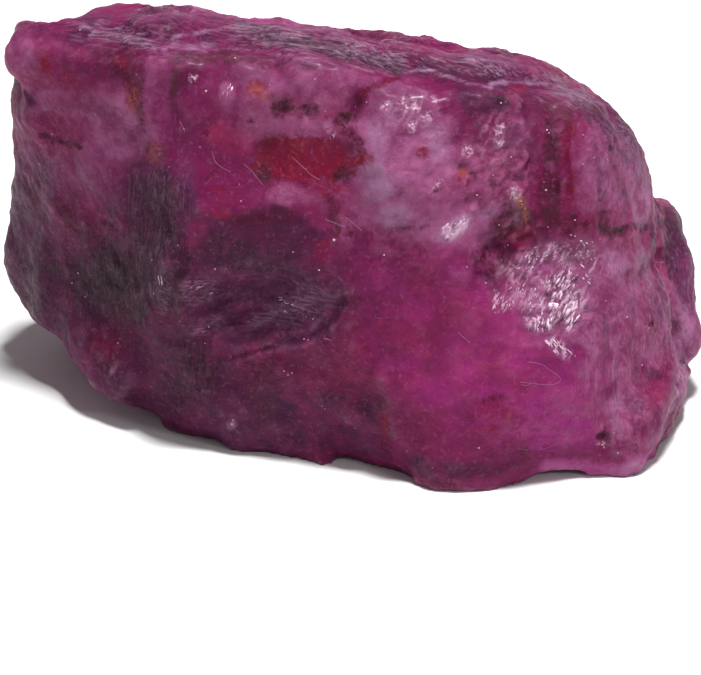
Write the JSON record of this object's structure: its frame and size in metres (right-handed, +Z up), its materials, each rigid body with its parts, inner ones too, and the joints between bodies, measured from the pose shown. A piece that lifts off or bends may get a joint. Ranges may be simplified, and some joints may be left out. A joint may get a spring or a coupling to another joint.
{
  "type": "raw ruby crystal",
  "caption": "Rough, blocky lump of opaque purplish red ruby with ledges, grooves, pits and broken faces, lying on a flat break.",
  "frame": {"origin": "middle of the box around the stone, on the flat break it rests on", "axes": "+X along the stone's length, +Y from its front to its back, +Z up"},
  "size_m": [0.0222, 0.0128, 0.0137],
  "materials": {
    "ruby": "waxy, glossy purplish red stone with milky veils, dark bands, rust stains and fine sparkles"
  },
  "bodies": {
    "root": {"ruby_crystal": "ruby"}
  },
  "joints": []
}
